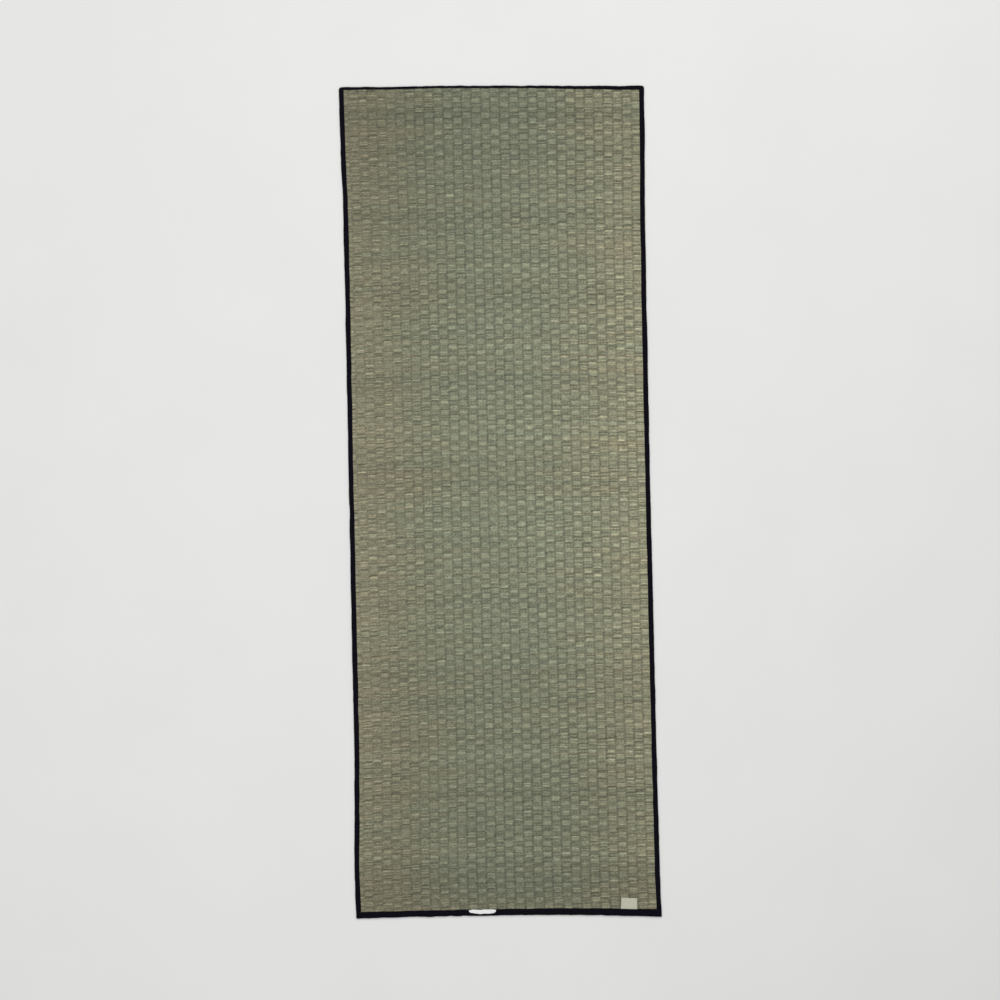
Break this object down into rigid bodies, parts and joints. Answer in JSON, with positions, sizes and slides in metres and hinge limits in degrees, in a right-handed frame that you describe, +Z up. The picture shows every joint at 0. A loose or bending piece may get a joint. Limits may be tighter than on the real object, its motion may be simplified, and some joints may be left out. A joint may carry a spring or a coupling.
{
  "type": "tatami mat",
  "caption": "Rectangular woven rush floor mat with all four edges bound in dark folded cotton, a small blank woven label by one corner and a half-moon patch on the near edge.",
  "frame": {"origin": "centre of the mat's bounding box in plan, on the underside it rests on", "axes": "+X across the width towards the side with the label, +Y along the length away from the labelled end, +Z up out of the woven face"},
  "size_m": [0.6612, 1.8112, 0.0044],
  "materials": {
    "rush": "dried woven rush, grey-green going to tan, softly satin",
    "navy_cotton": "matt black-navy cotton tape",
    "cream_label_weave": "matt fine woven label cloth",
    "white_tape": "matt white tape"
  },
  "bodies": {
    "root": {"rush_panel": "rush", "binding_left": "navy_cotton", "binding_right": "navy_cotton", "binding_near": "navy_cotton", "binding_far": "navy_cotton", "maker_label": "cream_label_weave", "white_tab": "white_tape"}
  },
  "joints": []
}
